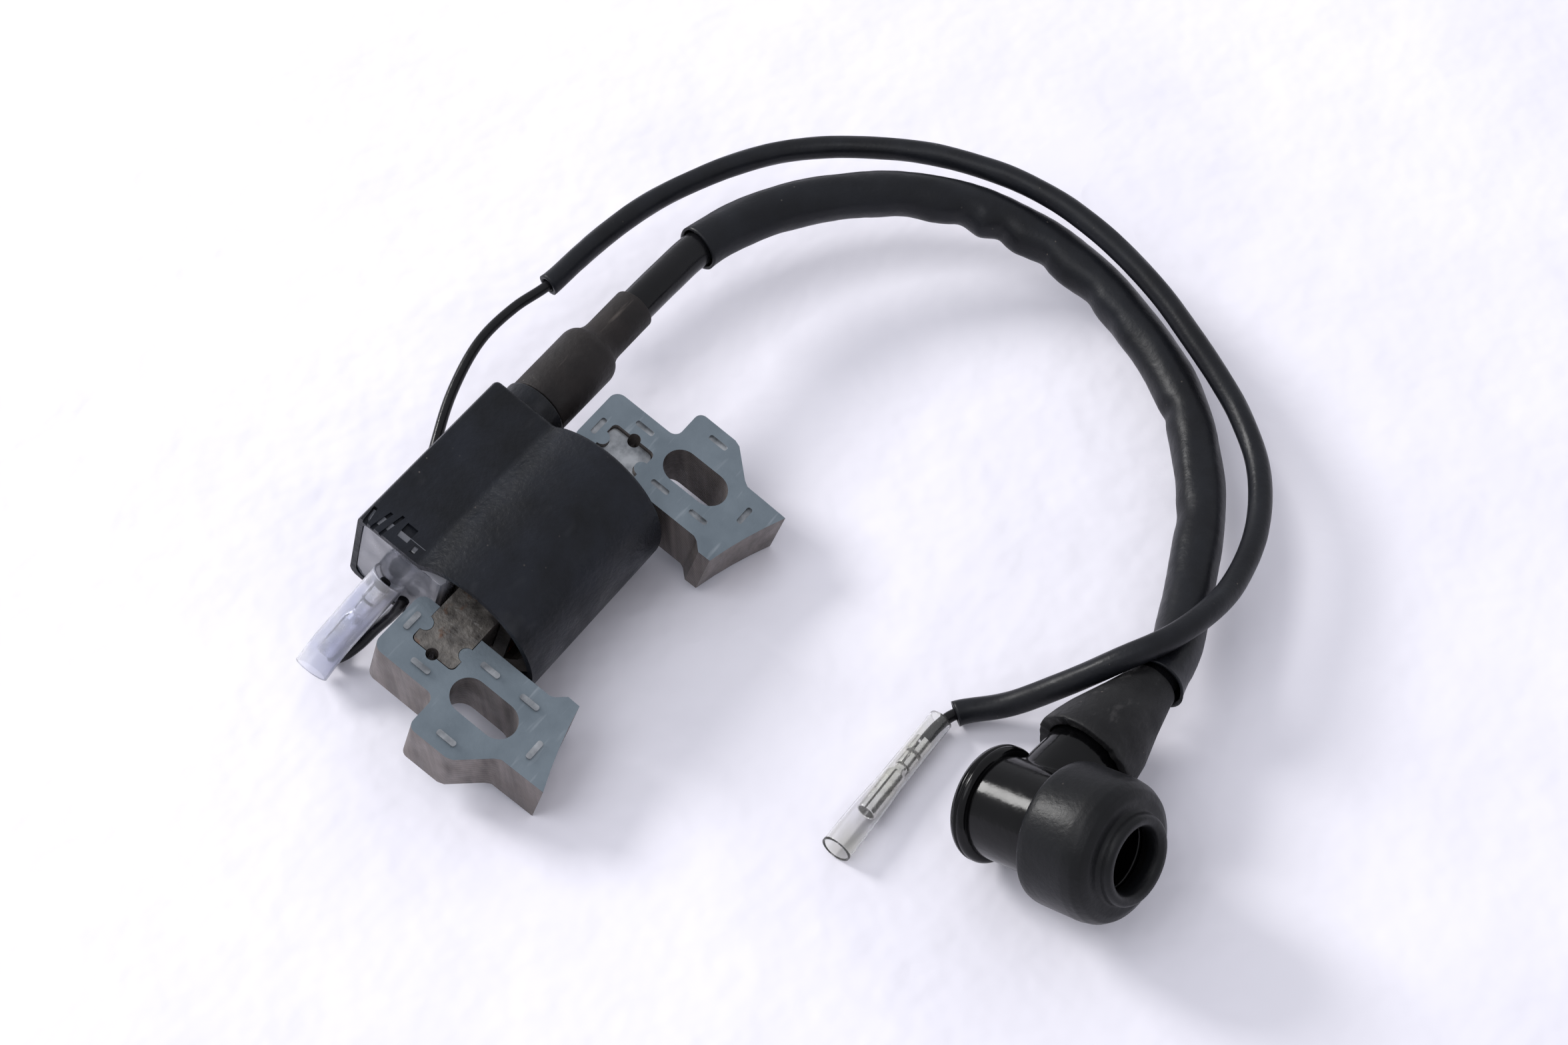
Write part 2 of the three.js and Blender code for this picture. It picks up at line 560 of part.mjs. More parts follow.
// ---- assembly -----------------------------------------------------------------------------
const coil = new THREE.Group();
coil.position.copy(CORE_AXIS);
coil.rotation.x = TILT;
coil.add(coilCase(), pottingResin(), ...electronics(), ...windings(), coreBar());
coil.add(poleLeg('near_pole_leg', -1), poleLeg('far_pole_leg', 1), ...outlet());

const ignitionCoil = new THREE.Group();
ignitionCoil.add(coil, ...coilReceptacle(), ...cords(), ...wireReceptacle(), plugCap());

export default ignitionCoil;
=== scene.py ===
from math import asin, cos, exp, pi, radians, sin, sqrt

import bmesh
import bpy
from mathutils import Euler, Matrix, Vector, noise


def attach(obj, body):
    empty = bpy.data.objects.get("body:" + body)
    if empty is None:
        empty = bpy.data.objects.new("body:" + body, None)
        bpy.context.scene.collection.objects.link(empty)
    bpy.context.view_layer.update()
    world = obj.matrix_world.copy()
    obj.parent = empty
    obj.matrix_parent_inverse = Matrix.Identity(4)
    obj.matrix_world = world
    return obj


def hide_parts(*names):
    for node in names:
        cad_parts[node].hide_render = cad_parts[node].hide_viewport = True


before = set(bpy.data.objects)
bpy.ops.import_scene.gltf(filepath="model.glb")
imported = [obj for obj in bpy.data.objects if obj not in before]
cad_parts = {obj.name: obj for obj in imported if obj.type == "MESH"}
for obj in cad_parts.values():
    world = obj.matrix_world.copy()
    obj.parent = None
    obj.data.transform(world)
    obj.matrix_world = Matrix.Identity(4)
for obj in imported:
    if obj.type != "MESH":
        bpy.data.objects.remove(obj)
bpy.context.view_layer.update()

MM = 0.001
COIL_BODY = "coil"
CAP_BODY = "plug_cap"


# ---- where things are ------------------------------------------------------------------
CASE_R = 15.5
COIL_TILT = radians(19.1)
COIL_TURN = Euler((COIL_TILT, 0, 0)).to_matrix().to_4x4()
COIL_PLACE = Matrix.Translation(Vector((-6, 2, CASE_R)) * MM) @ COIL_TURN
CAP_TURN = Euler((radians(-21.3), radians(2.6), radians(-5))).to_matrix().to_4x4()
CAP_PLACE = Matrix.Translation(Vector((0.4, -98.3, 12.7)) * MM) @ CAP_TURN
SWING_TO_BARREL = Matrix.Rotation(-pi / 2, 4, "Z")
TOWER_PLACE = COIL_PLACE @ Matrix.Translation(Vector((0, 18.2, 0)) * MM)

LEG_NORMAL = (0, -sin(COIL_TILT), cos(COIL_TILT))
SHEET = 0.5
STACK = 12.05
BAR_HALF = 4.5
CASE_NEAR, CASE_FAR = -19, 18.5

# the lead's route, out of the tower, round the arc and into the cap's neck
LEAD_ROUTE = [
    (21.4, 19.2, 21.46), (34, 19.2, 21.46), (47.3, 19.2, 21.4), (57, 19.2, 21.1), (66.4, 18.9, 20.6),
    (77, 15.9, 20.3), (86.4, 10.6, 20), (94, 4.3, 19.6), (100, -2.6, 18.9), (105.4, -10.6, 17.6),
    (108.9, -19.4, 15.7), (110.6, -28, 13.9), (110.4, -36.8, 12.3), (108.6, -45.6, 11.2),
    (105.2, -53.9, 10.4), (101.2, -62.2, 9.8), (96.2, -69.9, 9.4), (89.6, -77.1, 9.1),
    (81.9, -83.3, 9), (74.3, -88.2, 9), (66.2, -92.1, 9), (58, -95.5, 9.1),
    (50.5, -98.4, 9.5), (43, -100.9, 10.3), (36.2, -101.44, 11.05), (29.26, -100.83, 11.38),
    (22.6, -100.24, 11.69),
]
LEAD_SLEEVE = (4, 24)
# the stop wire's route: a hairpin under the receptacle's sleeve, behind the case, over the lead
WIRE_ROUTE = [
    (-26, 14.5, 15.9), (-27, 15.2, 14.2), (-27.8, 17.1, 11), (-29.9, 19.7, 7.2), (-32.8, 21.4, 4.6),
    (-35.4, 23.3, 2.7), (-36.3, 24.9, 1.8), (-34.6, 26.2, 1.4), (-31.4, 26.9, 1.3), (-26, 27.5, 1.4),
    (-16, 28.6, 2.6), (-5, 31.4, 5.2), (6.1, 36.4, 8), (18.6, 41.8, 10), (30.5, 44.3, 12),
    (39.8, 43.4, 13.2), (47.4, 41.1, 14), (55.4, 40.4, 14.5), (64, 39.3, 15), (74.2, 37, 15.6),
    (83, 33.3, 16.2), (91.8, 28.3, 16.8), (99.3, 22.2, 17.3), (105, 14.8, 17.9), (109.6, 6.2, 18.6),
    (113.2, -3.6, 19.4), (115.2, -14.2, 20), (116.1, -23.4, 20), (115.7, -32.6, 19.6), (114.2, -41.4, 18.8),
    (111.9, -50, 17.8), (108.2, -59.4, 16.8), (103.4, -68.6, 15.8), (98.8, -77, 14.6), (93.8, -84.5, 13.8),
    (85, -93.5, 13.2), (72.5, -100.2, 13.2), (59, -103, 14.6), (50, -102.9, 16.8), (41.6, -100.8, 17.8),
    (33.4, -95.6, 16.4), (27, -88.8, 11.2), (21.6, -81, 5), (15.9, -73.9, 3), (12.4, -72.8, 2.95),
    (8.2, -72.5, 2.95),
]
WIRE_SLEEVE = (16, 43)
OUTLET_SLEEVE_ROUTE = [
    (-24, 16.7, 21.3), (-29, 19.6, 15.8), (-33.4, 22.2, 10.9), (-37.4, 24.2, 7), (-41.6, 25, 4.5),
]


# ---- materials -------------------------------------------------------------------------
def linear(red, green, blue):
    """sRGB bytes to the linear colour that a shader takes"""
    def channel(value):
        value /= 255
        return value / 12.92 if value <= 0.04045 else ((value + 0.055) / 1.055) ** 2.4
    return (channel(red), channel(green), channel(blue), 1)


class Finish:
    """A procedural material: a Principled shader with noise, stripes and bumps in object space."""

    def __init__(self, name, roughness=0.5, metallic=0.0):
        self.material = bpy.data.materials.new(name)
        self.material.use_nodes = True
        self.tree = self.material.node_tree
        self.shader = self.tree.nodes["Principled BSDF"]
        self.shader.inputs["Roughness"].default_value = roughness
        self.shader.inputs["Metallic"].default_value = metallic
        self.coordinates = self.add("ShaderNodeTexCoord")
        self.bump = None

    def add(self, kind, **values):
        node = self.tree.nodes.new(kind)
        for key, value in values.items():
            if key in node.inputs:
                node.inputs[key].default_value = value
            else:
                setattr(node, key, value)
        return node

    def link(self, source, target):
        self.tree.links.new(source, target)

    def space(self, stretch=(1, 1, 1)):
        mapping = self.add("ShaderNodeMapping")
        mapping.inputs["Scale"].default_value = stretch
        self.link(self.coordinates.outputs["Object"], mapping.inputs["Vector"])
        return mapping.outputs["Vector"]

    def along(self, direction, source):
        """how far a coordinate lies along a direction"""
        dot = self.add("ShaderNodeVectorMath", operation="DOT_PRODUCT")
        self.link(self.coordinates.outputs[source], dot.inputs[0])
        dot.inputs[1].default_value = direction
        return dot.outputs["Value"]

    def noise(self, scale, detail=4, roughness=0.55, stretch=(1, 1, 1), low=0.35, high=0.65):
        """noise between 0 and 1, with its contrast set by low and high"""
        texture = self.add("ShaderNodeTexNoise")
        texture.inputs["Scale"].default_value = scale
        texture.inputs["Detail"].default_value = detail
        texture.inputs["Roughness"].default_value = roughness
        self.link(self.space(stretch), texture.inputs["Vector"])
        ramp = self.add("ShaderNodeMapRange")
        ramp.inputs["From Min"].default_value = low
        ramp.inputs["From Max"].default_value = high
        self.link(texture.outputs["Fac"], ramp.inputs["Value"])
        return ramp.outputs["Result"]

    def specks(self, scale, size, stretch=(1, 1, 1)):
        """1 inside small scattered spots, 0 elsewhere"""
        texture = self.add("ShaderNodeTexVoronoi")
        texture.inputs["Scale"].default_value = scale
        self.link(self.space(stretch), texture.inputs["Vector"])
        ramp = self.add("ShaderNodeMapRange")
        ramp.inputs["From Min"].default_value = size
        ramp.inputs["From Max"].default_value = size * 0.5
        self.link(texture.outputs["Distance"], ramp.inputs["Value"])
        return ramp.outputs["Result"]

    def math(self, operation, first, second=None):
        node = self.add("ShaderNodeMath", operation=operation)
        for socket, value in zip(node.inputs, (first, second)):
            if value is None:
                continue
            if isinstance(value, (int, float)):
                socket.default_value = value
            else:
                self.link(value, socket)
        return node.outputs["Value"]

    def mix(self, factor, first, second):
        node = self.add("ShaderNodeMix", data_type="RGBA")
        self.link(factor, node.inputs["Factor"])
        for socket, value in ((node.inputs[6], first), (node.inputs[7], second)):
            if isinstance(value, tuple):
                socket.default_value = value
            else:
                self.link(value, socket)
        return node.outputs[2]

    def colour(self, source):
        self.link(source, self.shader.inputs["Base Color"])

    def rough(self, factor, low, high):
        ramp = self.add("ShaderNodeMapRange")
        ramp.inputs["To Min"].default_value = low
        ramp.inputs["To Max"].default_value = high
        self.link(factor, ramp.inputs["Value"])
        self.link(ramp.outputs["Result"], self.shader.inputs["Roughness"])

    def relief(self, height, depth):
        """adds a bump of depth metres on top of the ones before it"""
        bump = self.add("ShaderNodeBump")
        bump.inputs["Distance"].default_value = depth
        self.link(height, bump.inputs["Height"])
        if self.bump:
            self.link(self.bump.outputs["Normal"], bump.inputs["Normal"])
        self.bump = bump
        self.link(bump.outputs["Normal"], self.shader.inputs["Normal"])


def moulded(name, dark, light, rough, grain=900, depth=0.00004, dust=0.0, coat=0.0, gloss=0.22):
    """moulded plastic or rubber: mottled colour, fine grain, uneven gloss and a little dust"""
    finish = Finish(name)
    cloud = finish.noise(90, 5, 0.6)
    colour = finish.mix(cloud, linear(*dark), linear(*light))
    if dust:
        spots = finish.math("MULTIPLY", finish.specks(420, 0.09), finish.noise(60, 2, low=0.5, high=0.62))
        colour = finish.mix(finish.math("MULTIPLY", spots, dust), colour, linear(150, 140, 130))
    finish.colour(colour)
    finish.rough(finish.noise(140, 6), *rough)
    finish.relief(finish.noise(grain, 3), depth)
    finish.shader.inputs["Specular IOR Level"].default_value = gloss
    if coat:
        finish.shader.inputs["Coat Weight"].default_value = coat
        finish.shader.inputs["Coat Roughness"].default_value = 0.06
    return finish


def case_plastic():
    finish = moulded("case_plastic", (15, 17, 21), (27, 30, 37), (0.32, 0.52), 900, 0.00005, dust=0.35)
    smudge = finish.noise(55, 3, 0.7, (1, 1, 2.2), low=0.62, high=0.72)
    base = finish.shader.inputs["Base Color"].links[0].from_socket
    finish.colour(finish.mix(finish.math("MULTIPLY", smudge, 0.4), base, linear(56, 57, 60)))
    return finish.material


def core_steel():
    """phosphated sheet on the faces, striped laminations on the cut edges"""
    finish = Finish("core_steel", metallic=0.55)
    face = finish.mix(finish.noise(120, 6), linear(106, 117, 125), linear(119, 130, 138))
    scuff = finish.noise(700, 2, 0.5, (0.15, 1, 1), low=0.62, high=0.75)
    face = finish.mix(finish.math("MULTIPLY", scuff, 0.4), face, linear(165, 172, 178))
    wobble = finish.math("MULTIPLY", finish.noise(160, 2, low=0, high=1), 0.00012)
    height = finish.math("ADD", finish.along(LEG_NORMAL, "Object"), wobble)
    turns = finish.math("MULTIPLY", height, 2 * pi / (SHEET * MM))
    layer = finish.math("ADD", finish.math("MULTIPLY", finish.math("SINE", turns), 0.5), 0.5)
    streak = finish.noise(500, 4, 0.6, (1, 1, 0.06), low=0.3, high=0.7)
    shade = finish.math("ADD", finish.math("MULTIPLY", layer, 0.55), finish.math("MULTIPLY", streak, 0.45))
    edge = finish.mix(shade, linear(58, 53, 52), linear(142, 134, 130))
    flatness = finish.math("ABSOLUTE", finish.along(LEG_NORMAL, "Normal"))
    is_face = finish.add("ShaderNodeMapRange")
    is_face.inputs["From Min"].default_value = 0.55
    is_face.inputs["From Max"].default_value = 0.8
    finish.link(flatness, is_face.inputs["Value"])
    finish.colour(finish.mix(is_face.outputs["Result"], edge, face))
    finish.rough(finish.noise(220, 5), 0.38, 0.58)
    finish.relief(layer, 0.00002)
    finish.relief(finish.noise(1500, 3), 0.000012)
    return finish.material


def bright_steel():
    """clean sheet inside the joint pocket"""
    finish = Finish("bright_steel", metallic=0.8)
    finish.colour(finish.mix(finish.noise(300, 5), linear(112, 116, 120), linear(172, 175, 178)))
    finish.rough(finish.noise(260, 5), 0.25, 0.45)
    finish.relief(finish.noise(900, 3, stretch=(0.2, 1, 1)), 0.00002)
    return finish.material


def varnish():
    """brown impregnating varnish with rust on the near joint"""
    finish = Finish("joint_varnish")
    blotch = finish.mix(finish.noise(330, 5), linear(58, 55, 53), linear(112, 108, 103))
    rust = finish.noise(210, 4, low=0.58, high=0.68)
    finish.colour(finish.mix(rust, blotch, linear(92, 58, 34)))
    finish.rough(finish.noise(300, 4), 0.18, 0.5)
    finish.relief(finish.noise(420, 4), 0.0002)
    return finish.material


def resin():
    finish = Finish("potting_resin", roughness=0.12)
    finish.colour(finish.mix(finish.noise(70, 4), linear(92, 94, 101), linear(122, 124, 131)))
    finish.rough(finish.noise(160, 4), 0.08, 0.22)
    finish.relief(finish.noise(60, 2), 0.00025)
    finish.shader.inputs["Coat Weight"].default_value = 0.6
    finish.shader.inputs["Coat Roughness"].default_value = 0.05
    return finish.material


def boot_rubber():
    finish = moulded("boot_rubber", (27, 24, 24), (42, 38, 37), (0.48, 0.72), 800, 0.00005,
                     dust=0.5, gloss=0.25)
    scratch = finish.noise(420, 3, 0.6, (0.12, 1, 1), low=0.66, high=0.74)
    base = finish.shader.inputs["Base Color"].links[0].from_socket
    finish.colour(finish.mix(finish.math("MULTIPLY", scratch, 0.35), base, linear(112, 104, 98)))
    return finish.material


def seal_rubber():
    return moulded("seal_rubber", (12, 13, 15), (21, 22, 25), (0.34, 0.48), 1100, 0.00002, dust=0.12).material


def cone_rubber():
    """drier, scuffed rubber of the boot on the cap"""
    finish = moulded("cone_rubber", (16, 16, 18), (31, 31, 32), (0.48, 0.7), 700, 0.00006,
                     dust=0.3, gloss=0.25)
    scuff = finish.noise(260, 4, 0.65, (0.5, 1, 1), low=0.6, high=0.72)
    base = finish.shader.inputs["Base Color"].links[0].from_socket
    finish.colour(finish.mix(finish.math("MULTIPLY", scuff, 0.3), base, linear(84, 82, 82)))
    return finish.material


def lead_vinyl():
    return moulded("lead_vinyl", (14, 14, 16), (22, 22, 25), (0.16, 0.3), 500, 0.00002, dust=0.1).material


def sleeve_vinyl():
    return moulded("sleeve_vinyl", (15, 16, 20), (24, 26, 31), (0.32, 0.46), 1000, 0.00002, dust=0.2).material


def bakelite():
    finish = moulded("bakelite", (2, 2, 3), (7, 7, 8), (0.12, 0.22), 260, 0.00003, coat=0.06, gloss=0.2)
    return finish.material


def tin():
    finish = Finish("tinned_brass", metallic=0.85)
    finish.colour(finish.mix(finish.noise(400, 4), linear(222, 220, 219), linear(246, 245, 243)))
    finish.rough(finish.noise(500, 4), 0.14, 0.34)
    finish.relief(finish.noise(900, 3), 0.00002)
    return finish.material


def brass():
    finish = Finish("brass", metallic=1)
    finish.colour(finish.mix(finish.noise(300, 4), linear(150, 118, 62), linear(198, 164, 96)))
    finish.rough(finish.noise(420, 4), 0.22, 0.4)
    finish.relief(finish.noise(800, 2, stretch=(4, 1, 1)), 0.00002)
    return finish.material


def clear_vinyl(name, rough, passes, tint):
    """soft clear sleeve, a little milky"""
    finish = Finish(name)
    finish.colour(finish.mix(finish.noise(120, 4), linear(*tint), linear(250, 250, 251)))
    finish.rough(finish.noise(260, 4), *rough)
    finish.relief(finish.noise(90, 2), 0.00004)
    finish.shader.inputs["Transmission Weight"].default_value = passes
    finish.shader.inputs["IOR"].default_value = 1.4
    return finish.material


def copper():
    """enamelled turns, laid side by side"""
    finish = Finish("enamelled_copper", metallic=0.7)
    finish.colour(finish.mix(finish.noise(300, 4), linear(98, 48, 26), linear(148, 78, 40)))
    finish.rough(finish.noise(420, 4), 0.25, 0.45)
    split = finish.add("ShaderNodeSeparateXYZ")
    finish.link(finish.coordinates.outputs["Object"], split.inputs["Vector"])
    turns = finish.math("SINE", finish.math("MULTIPLY", split.outputs["X"], 2 * pi / 0.0004))
    finish.relief(turns, 0.00006)
    return finish.material


def bobbin_plastic():
    return moulded("bobbin_plastic", (48, 45, 42), (76, 72, 67), (0.4, 0.65), 700, 0.00006).material


def board_laminate():
    return moulded("board_laminate", (28, 66, 40), (44, 92, 58), (0.35, 0.5), 600, 0.00003).material


def ceramic():
    return moulded("ceramic", (196, 188, 170), (222, 216, 200), (0.3, 0.45), 500, 0.00002).material


CASE = case_plastic()
STEEL = core_steel()
BRIGHT = bright_steel()
VARNISH = varnish()
RESIN = resin()
BOOT = boot_rubber()
SEAL = seal_rubber()
CONE = cone_rubber()
LEAD = lead_vinyl()
SLEEVE = sleeve_vinyl()
BAKELITE = bakelite()
TIN = tin()
BRASS = brass()
MILKY = clear_vinyl("milky_vinyl", (0.1, 0.2), 0.82, (228, 231, 246))
CLEAR = clear_vinyl("clear_vinyl", (0.02, 0.06), 0.97, (246, 246, 240))
COPPER = copper()
BOBBIN = bobbin_plastic()
BOARD = board_laminate()
CERAMIC = ceramic()


# ---- mesh helpers ----------------------------------------------------------------------
def piece(name, vertices, faces, material, place=Matrix.Identity(4), smooth=True):
    """a mesh object from points in millimetres in the frame of place"""
    mesh = bpy.data.meshes.new(name)
    mesh.from_pydata([Vector(v) * MM for v in vertices], [], faces)
    mesh.validate()
    built = bmesh.new()
    built.from_mesh(mesh)
    bmesh.ops.remove_doubles(built, verts=built.verts, dist=1e-7)
    bmesh.ops.recalc_face_normals(built, faces=built.faces)
    built.to_mesh(mesh)
    built.free()
    mesh.materials.append(material)
    for polygon in mesh.polygons:
        polygon.use_smooth = smooth
    made = bpy.data.objects.new(name, mesh)
    bpy.context.collection.objects.link(made)
    made.matrix_world = place
    return made


def settle(made, body, slot, *nodes):
    """lies in the shared frame, rides on its body and stands in for its CAD nodes; slot is not used"""
    bpy.context.view_layer.update()
    made.data.transform(made.matrix_world)
    made.matrix_world = Matrix.Identity(4)
    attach(made, body)
    if nodes:
        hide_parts(*nodes)
    return made


def modifier(made, kind, **values):
    added = made.modifiers.new(kind.lower(), kind)
    for key, value in values.items():
        setattr(added, key, value)
    return added


def bevel(made, width, segments=2, angle=30):
    """rounded edges with even shading"""
    modifier(made, "BEVEL", width=width * MM, segments=segments, limit_method="ANGLE",
             angle_limit=radians(angle), harden_normals=True)
    return made


def bake(made):
    """applies the modifiers"""
    graph = bpy.context.evaluated_depsgraph_get()
    mesh = bpy.data.meshes.new_from_object(made.evaluated_get(graph))
    made.modifiers.clear()
    made.data = mesh
    return made


def carve(made, operation, *tools):
    """joins or cuts with each tool, and removes the tools"""
    for tool in tools:
        modifier(made, "BOOLEAN", object=tool, operation=operation, solver="EXACT")
        bake(made)
        bpy.data.objects.remove(tool)
    return made


def turned(name, profile, material, place, sides=64, shape=None):
    """closed [radius, along] profile turned about the frame's x axis; shape moves a point"""
    vertices, faces = [], []
    for radius, along in profile:
        for i in range(sides):
            angle = 2 * pi * i / sides
            point = Vector((along, radius * cos(angle), radius * sin(angle)))
            vertices.append(shape(point, angle) if shape else point)
    rings = len(profile)
    for ring in range(rings - 1):
        for i in range(sides):
            after = (i + 1) % sides
            a, b = ring * sides, (ring + 1) * sides
            faces.append((a + i, a + after, b + after, b + i))
    return piece(name, vertices, faces, material, place)


def rounded(profile, radius=0.4, steps=4):
    """the profile with each corner rounded off, for soft edges on turned pieces"""
    closed = profile[0] == profile[-1]
    points = [Vector(p) for p in profile]
    result = []
    count = len(points)
    for i, here in enumerate(points):
        if not closed and i in (0, count - 1):
            result.append(tuple(here))
            continue
        before = points[i - 1] if i else points[-2]
        after = points[i + 1] if i < count - 1 else points[1]
        inward, outward = before - here, after - here
        if inward.length < 1e-6 or outward.length < 1e-6:
            continue
        reach = min(radius, inward.length * 0.45, outward.length * 0.45)
        start = here + inward.normalized() * reach
        end = here + outward.normalized() * reach
        for step in range(steps + 1):
            t = step / steps
            result.append(tuple(start * (1 - t) ** 2 + here * 2 * t * (1 - t) + end * t ** 2))
    return result


def arc(centre, radius, start, end, steps=10):
    """points on a circle from start to end, in degrees"""
    return [(centre[0] + radius * cos(radians(start + (end - start) * i / steps)),
             centre[1] + radius * sin(radians(start + (end - start) * i / steps))) for i in range(steps + 1)]


def prism(name, outline, low, high, material, place, axis="Z", holes=()):
    """an outline pushed between two planes: (x, y) along z, or (y, z) along x"""
    def at(point, level):
        return (level, *point) if axis == "X" else (*point, level)
    count = len(outline)
    vertices = [at(p, low) for p in outline] + [at(p, high) for p in outline]
    faces = [tuple(reversed(range(count))), tuple(range(count, 2 * count))]
    faces += [(i, (i + 1) % count, count + (i + 1) % count, count + i) for i in range(count)]
    made = piece(name, vertices, faces, material, place, smooth=False)
    for hole in holes:
        tool = prism(name + "_hole", hole, low - 1, high + 1, material, place, axis)
        carve(made, "DIFFERENCE", tool)
    return made


def block(name, low, high, material, place):
    (x0, y0, z0), (x1, y1, z1) = low, high
    return prism(name, [(x0, y0), (x1, y0), (x1, y1), (x0, y1)], z0, z1, material, place)


def shade_by_angle(made, angle=32):
    """smooth shading except over sharp edges"""
    mesh = made.data
    built = bmesh.new()
    built.from_mesh(mesh)
    for edge in built.edges:
        edge.smooth = len(edge.link_faces) == 2 and edge.calc_face_angle(0) < radians(angle)
    built.to_mesh(mesh)
    built.free()
    for polygon in mesh.polygons:
        polygon.use_smooth = True
    modifier(made, "WEIGHTED_NORMAL", keep_sharp=True, weight=100)
    return bake(made)


# ---- curves ----------------------------------------------------------------------------
def route_point(points, at):
    """centripetal spline through the points; at counts control points"""
    index = min(int(at), len(points) - 2)
    weight = at - index
    p1, p2 = points[index], points[index + 1]
    p0 = points[index - 1] if index > 0 else p1 * 2 - p2
    p3 = points[index + 2] if index + 2 < len(points) else p2 * 2 - p1
    d0, d1, d2 = ((b - a).length ** 0.5 for a, b in ((p0, p1), (p1, p2), (p2, p3)))
    m1 = ((p1 - p0) / d0 - (p2 - p0) / (d0 + d1) + (p2 - p1) / d1) * d1
    m2 = ((p2 - p1) / d1 - (p3 - p1) / (d1 + d2) + (p3 - p2) / d2) * d1
    return (p1 + m1 * weight + (p2 * 3 - p1 * 3 - m1 * 2 - m2) * weight ** 2
            + (p1 * 2 - p2 * 2 + m1 + m2) * weight ** 3)


def stretch(route, first, last, per_span=10):
    """points along a route between two of its control points"""
    points = [Vector(p) for p in route]
    steps = int((last - first) * per_span)
    return [route_point(points, first + (last - first) * i / steps) for i in range(steps + 1)]


def length_of(path):
    return sum((b - a).length for a, b in zip(path, path[1:])) * MM


def frames(path):
    """tangent and two cross directions at each point, carried along without twisting"""
    result = []
    side = Vector((0, 0, 1))
    for i, here in enumerate(path):
        tangent = (path[min(i + 1, len(path) - 1)] - path[max(i - 1, 0)]).normalized()
        side = (side - tangent * side.dot(tangent)).normalized()
        result.append((here, tangent, side, tangent.cross(side)))
    return result


def hose(name, path, outer, inner, material, sides=28, shape=None):
    """a tube along a path; inner 0 closes the ends; shape(along, angle, radius) bends the wall"""
    rings = frames(path)
    travelled = [0.0]
    for a, b in zip(path, path[1:]):
        travelled.append(travelled[-1] + (b - a).length)
    vertices, faces = [], []

    def ring(index, radius):
        here, _, side, up = rings[index]
        start = len(vertices)
        for k in range(sides):
            angle = 2 * pi * k / sides
            reach = shape(travelled[index], angle, radius) if shape else radius
            vertices.append(here + (side * cos(angle) + up * sin(angle)) * reach)
        return start

    def skin(a, b):
        for k in range(sides):
            after = (k + 1) % sides
            faces.append((a + k, a + after, b + after, b + k))

    outside = [ring(i, outer) for i in range(len(path))]
    for a, b in zip(outside, outside[1:]):
        skin(a, b)
    if inner:
        inside = [ring(i, inner) for i in range(len(path))]
        for a, b in zip(inside, inside[1:]):
            skin(b, a)
        skin(outside[-1], inside[-1])
        skin(inside[0], outside[0])
    else:
        faces.append(tuple(reversed(range(outside[0], outside[0] + sides))))
        faces.append(tuple(range(outside[-1], outside[-1] + sides)))
    return piece(name, vertices, faces, material)


# ---- camera and cords ------------------------------------------------------------------
camera_data = bpy.data.cameras.new("camera")
camera_data.lens = 62.59
camera_data.sensor_width = 36
camera = bpy.data.objects.new("camera", camera_data)
camera.location = (-0.20459, -0.21212, 0.40355)
camera.rotation_euler = Euler((radians(37.03), radians(1.946), radians(-54.3185)))
bpy.context.collection.objects.link(camera)
bpy.context.scene.camera = camera

lead_path = stretch(LEAD_ROUTE, 0, len(LEAD_ROUTE) - 1)
lead = settle(hose("lead", lead_path, 3.5, 0, LEAD), COIL_BODY, "wire_insulation", "ht_lead")


def loose_sleeve(path, seed, waves, ends, folds=()):
    """wall of a loose sleeve: long waves, wrinkles and kinks; folds are (place, run, angle, depth)"""
    whole = length_of(path) / MM

    def shape(along, angle, radius):
        point = Vector((along * 0.11, cos(angle) * 1.4, sin(angle) * 1.4 + seed))
        reach = radius + waves * noise.noise(point)
        fine = Vector((along * 0.6, cos(angle) * 2.2 + seed, sin(angle) * 2.2))
        reach += waves * 0.22 * noise.noise(fine)
        for place, run, towards, depth in folds:
            near = exp(-((along - place) / run) ** 2)
            facing = max(0, cos(angle - towards)) ** 2
            reach -= depth * near * facing
        flare = exp(-along / 2.2) * ends[0] + exp(-(whole - along) / 2.2) * ends[1]
        return reach + flare
    return shape


sleeve_path = stretch(LEAD_ROUTE, *LEAD_SLEEVE, 16)
lead_folds = [(43, 3.5, 1.8, 0.55), (50, 2.6, 1.7, -0.45), (56, 2, 1.9, 0.85), (60.5, 1.6, 1.6, -0.6),
              (64.5, 1.5, 1.8, 0.8), (69, 2.2, 1.7, -0.5), (75, 1.9, 1.9, 0.8), (81, 2.6, 1.7, -0.4),
              (88, 2.4, 1.8, 0.65), (96, 3, 1.8, 0.45), (121, 2, 1.6, 0.6), (146, 3, 1.6, 0.5)]
lead_sleeve = settle(
    hose("lead_sleeving", sleeve_path, 4.5, 3.95, SLEEVE, 40,
         loose_sleeve(sleeve_path, 3.1, 0.22, (0.1, 1), lead_folds)),
    COIL_BODY, "sleeving_vinyl", "ht_lead_sleeving")

wire_path = stretch(WIRE_ROUTE, 0, len(WIRE_ROUTE) - 1, 8)
wire = settle(hose("stop_lead", wire_path, 1.05, 0, LEAD, 16), COIL_BODY, "wire_insulation", "stop_wire")
wire_sleeve_path = stretch(WIRE_ROUTE, *WIRE_SLEEVE, 12)
wire_sleeve = settle(
    hose("stop_lead_sleeving", wire_sleeve_path, 2.2, 1.5, SLEEVE, 28,
         loose_sleeve(wire_sleeve_path, 8.6, 0.1, (0.1, 0.15))),
    COIL_BODY, "sleeving_vinyl", "stop_wire_sleeving")


# ---- coil case -------------------------------------------------------------------------
BOX_TOP = 10.3
BOX_BOTTOM = -11.3
BOX_SIDE = 24.7
NOTCH_TOP = 12
